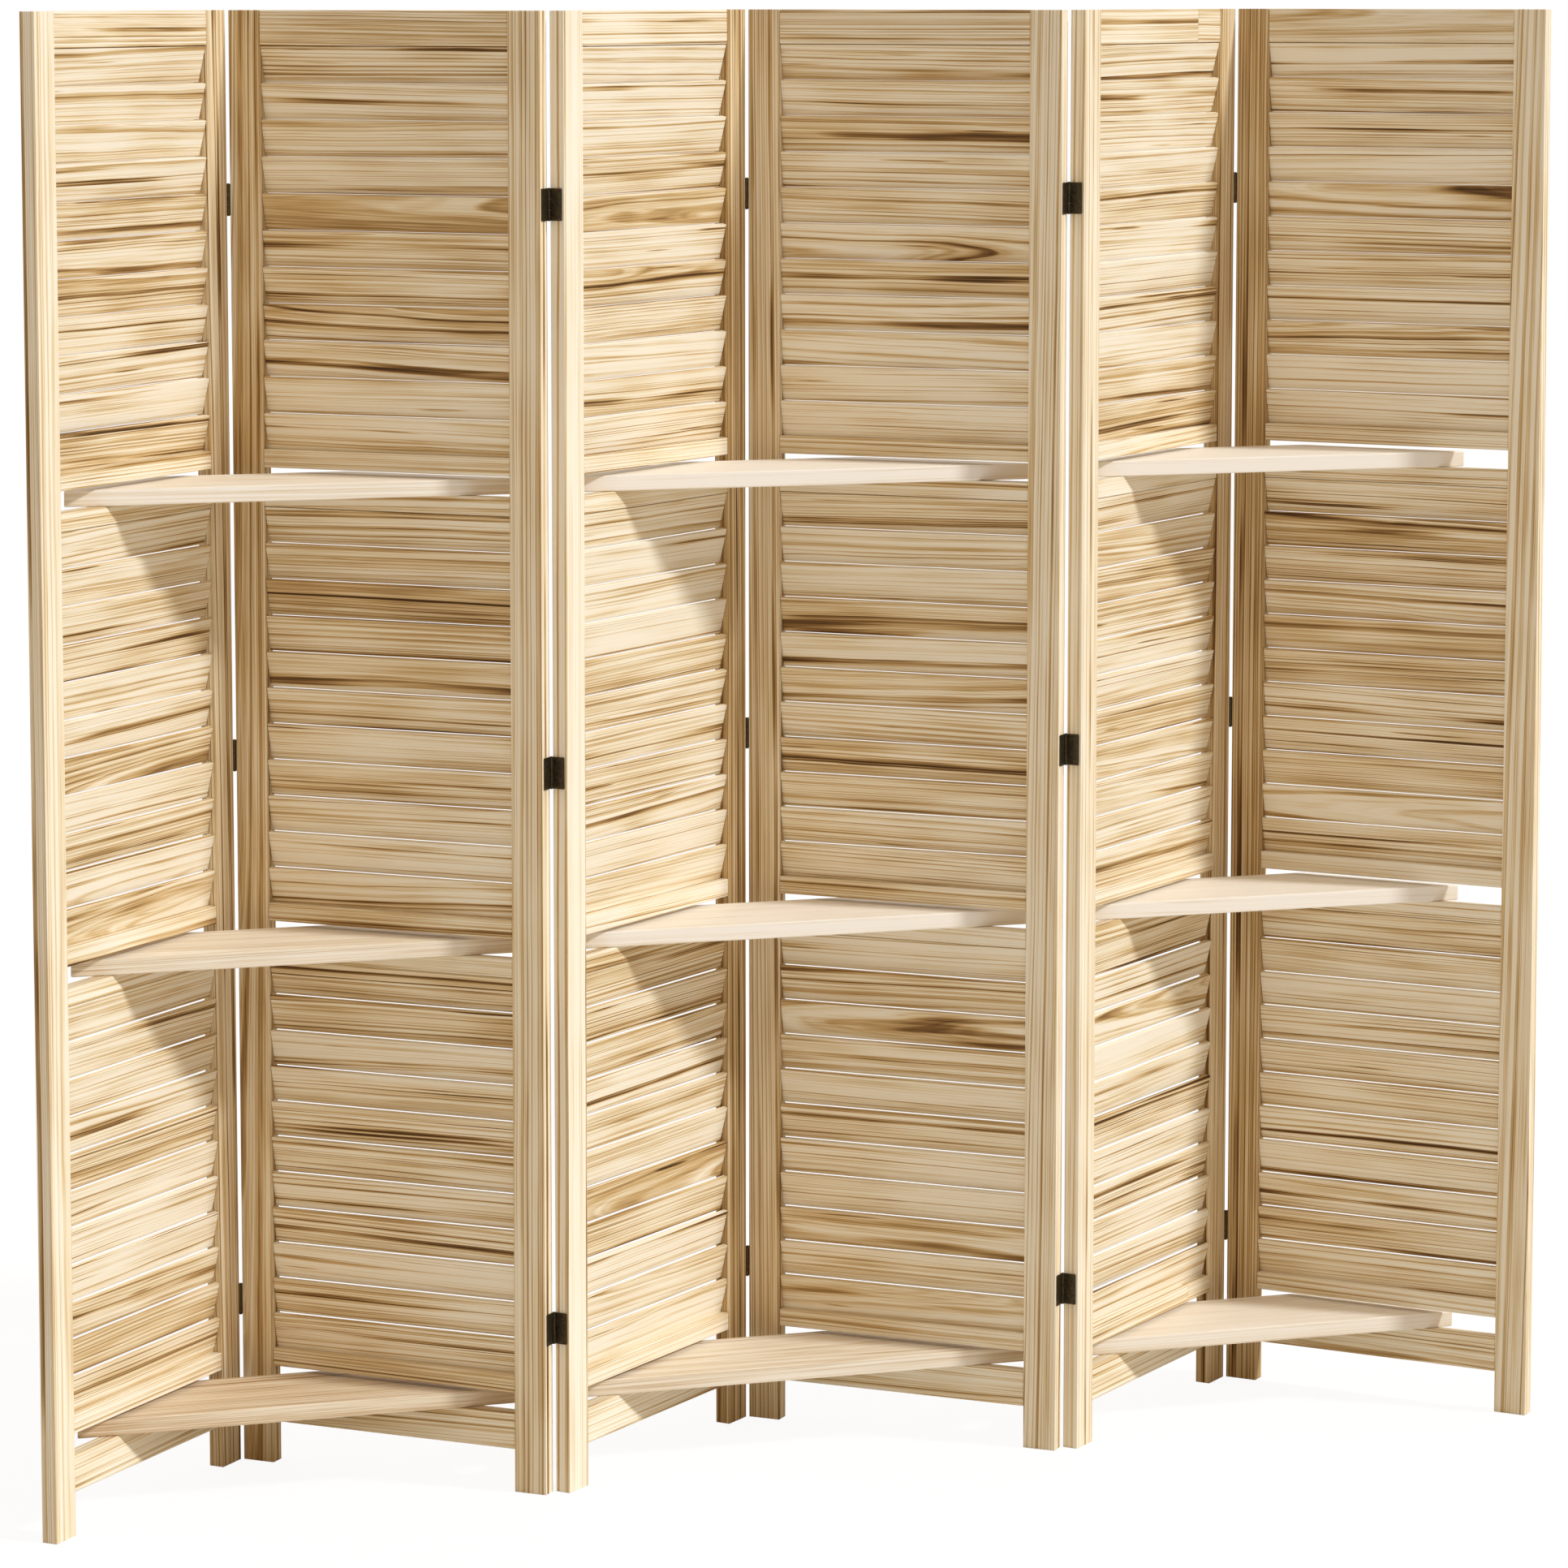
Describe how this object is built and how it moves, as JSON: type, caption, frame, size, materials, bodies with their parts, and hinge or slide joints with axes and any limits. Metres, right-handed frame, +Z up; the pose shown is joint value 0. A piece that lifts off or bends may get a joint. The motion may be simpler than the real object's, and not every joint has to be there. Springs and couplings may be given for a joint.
{
  "type": "folding screen with shelves",
  "caption": "Louvred wooden folding screen standing in a zigzag, with boards slotted through its panels as shelves.",
  "frame": {"origin": "on the floor, under the middle of the screen as it stands in the picture", "axes": "+X to the right along the line of the shelves, -Y towards the viewer, +Z up"},
  "size_m": [1.8266, 0.3014, 1.7],
  "materials": {
    "stile_pine": "clear lacquered pine",
    "louvre_pine": "clear lacquered pine",
    "shelf_pine": "clear lacquered pine",
    "hinge_bronze": "dark bronzed steel"
  },
  "bodies": {
    "panel_1": {"panel_1_stile_left": "stile_pine", "panel_1_stile_right": "stile_pine", "panel_1_louvres": "louvre_pine", "hinge_1_2_low_pin_leaf": "hinge_bronze", "hinge_1_2_mid_pin_leaf": "hinge_bronze", "hinge_1_2_high_pin_leaf": "hinge_bronze"},
    "panel_2": {"panel_2_stile_left": "stile_pine", "panel_2_stile_right": "stile_pine", "panel_2_louvres": "louvre_pine", "hinge_2_3_low_pin_leaf": "hinge_bronze", "hinge_2_3_mid_pin_leaf": "hinge_bronze", "hinge_2_3_high_pin_leaf": "hinge_bronze", "hinge_1_2_low_bored_leaf": "hinge_bronze", "hinge_1_2_mid_bored_leaf": "hinge_bronze", "hinge_1_2_high_bored_leaf": "hinge_bronze"},
    "panel_3": {"panel_3_stile_left": "stile_pine", "panel_3_stile_right": "stile_pine", "panel_3_louvres": "louvre_pine", "hinge_3_4_low_pin_leaf": "hinge_bronze", "hinge_3_4_mid_pin_leaf": "hinge_bronze", "hinge_3_4_high_pin_leaf": "hinge_bronze", "hinge_2_3_low_bored_leaf": "hinge_bronze", "hinge_2_3_mid_bored_leaf": "hinge_bronze", "hinge_2_3_high_bored_leaf": "hinge_bronze"},
    "panel_4": {"panel_4_stile_left": "stile_pine", "panel_4_stile_right": "stile_pine", "panel_4_louvres": "louvre_pine", "hinge_4_5_low_pin_leaf": "hinge_bronze", "hinge_4_5_mid_pin_leaf": "hinge_bronze", "hinge_4_5_high_pin_leaf": "hinge_bronze", "hinge_3_4_low_bored_leaf": "hinge_bronze", "hinge_3_4_mid_bored_leaf": "hinge_bronze", "hinge_3_4_high_bored_leaf": "hinge_bronze"},
    "panel_5": {"panel_5_stile_left": "stile_pine", "panel_5_stile_right": "stile_pine", "panel_5_louvres": "louvre_pine", "hinge_5_6_low_pin_leaf": "hinge_bronze", "hinge_5_6_mid_pin_leaf": "hinge_bronze", "hinge_5_6_high_pin_leaf": "hinge_bronze", "hinge_4_5_low_bored_leaf": "hinge_bronze", "hinge_4_5_mid_bored_leaf": "hinge_bronze", "hinge_4_5_high_bored_leaf": "hinge_bronze"},
    "panel_6": {"panel_6_stile_left": "stile_pine", "panel_6_stile_right": "stile_pine", "panel_6_louvres": "louvre_pine", "hinge_5_6_low_bored_leaf": "hinge_bronze", "hinge_5_6_mid_bored_leaf": "hinge_bronze", "hinge_5_6_high_bored_leaf": "hinge_bronze"},
    "shelf_12_low": {"shelf_12_low": "shelf_pine"},
    "shelf_12_mid": {"shelf_12_mid": "shelf_pine"},
    "shelf_12_high": {"shelf_12_high": "shelf_pine"},
    "shelf_34_low": {"shelf_34_low": "shelf_pine"},
    "shelf_34_mid": {"shelf_34_mid": "shelf_pine"},
    "shelf_34_high": {"shelf_34_high": "shelf_pine"},
    "shelf_56_low": {"shelf_56_low": "shelf_pine"},
    "shelf_56_mid": {"shelf_56_mid": "shelf_pine"},
    "shelf_56_high": {"shelf_56_high": "shelf_pine"}
  },
  "joints": [
    {"name": "fold_2_3", "type": "hinge", "parent": "panel_3", "child": "panel_2", "pos_m": [-0.3127, -0.1126, 0.85], "axis": [0, 0, 1], "range_deg": [-61, 83]},
    {"name": "fold_1_2", "type": "hinge", "parent": "panel_2", "child": "panel_1", "pos_m": [-0.6254, 0.13762, 0.85], "axis": [0, 0, 1], "range_deg": [-88, 91]},
    {"name": "fold_3_4", "type": "hinge", "parent": "panel_3", "child": "panel_4", "pos_m": [0, 0.13762, 0.85], "axis": [0, 0, 1], "range_deg": [-96, 83]},
    {"name": "fold_4_5", "type": "hinge", "parent": "panel_4", "child": "panel_5", "pos_m": [0.3127, -0.1126, 0.85], "axis": [0, 0, 1], "range_deg": [-83, 66]},
    {"name": "fold_5_6", "type": "hinge", "parent": "panel_5", "child": "panel_6", "pos_m": [0.6254, 0.13762, 0.85], "axis": [0, 0, -1], "range_deg": [-88, 91]},
    {"name": "shelf_12_low_slide", "type": "slide", "parent": "panel_2", "child": "shelf_12_low", "axis": [0, 1, 0], "range_m": [-0.028, 0]},
    {"name": "shelf_12_mid_slide", "type": "slide", "parent": "panel_2", "child": "shelf_12_mid", "axis": [0, 1, 0], "range_m": [-0.028, 0]},
    {"name": "shelf_12_high_slide", "type": "slide", "parent": "panel_2", "child": "shelf_12_high", "axis": [0, 1, 0], "range_m": [-0.028, 0]},
    {"name": "shelf_34_low_slide", "type": "slide", "parent": "panel_3", "child": "shelf_34_low", "axis": [0, -1, 0], "range_m": [0, 0.028]},
    {"name": "shelf_34_mid_slide", "type": "slide", "parent": "panel_3", "child": "shelf_34_mid", "axis": [0, -1, 0], "range_m": [0, 0.028]},
    {"name": "shelf_34_high_slide", "type": "slide", "parent": "panel_3", "child": "shelf_34_high", "axis": [0, -1, 0], "range_m": [0, 0.028]},
    {"name": "shelf_56_low_slide", "type": "slide", "parent": "panel_5", "child": "shelf_56_low", "axis": [0, 1, 0], "range_m": [-0.028, 0]},
    {"name": "shelf_56_mid_slide", "type": "slide", "parent": "panel_5", "child": "shelf_56_mid", "axis": [0, 1, 0], "range_m": [-0.028, 0]},
    {"name": "shelf_56_high_slide", "type": "slide", "parent": "panel_5", "child": "shelf_56_high", "axis": [0, 1, 0], "range_m": [-0.028, 0]}
  ]
}
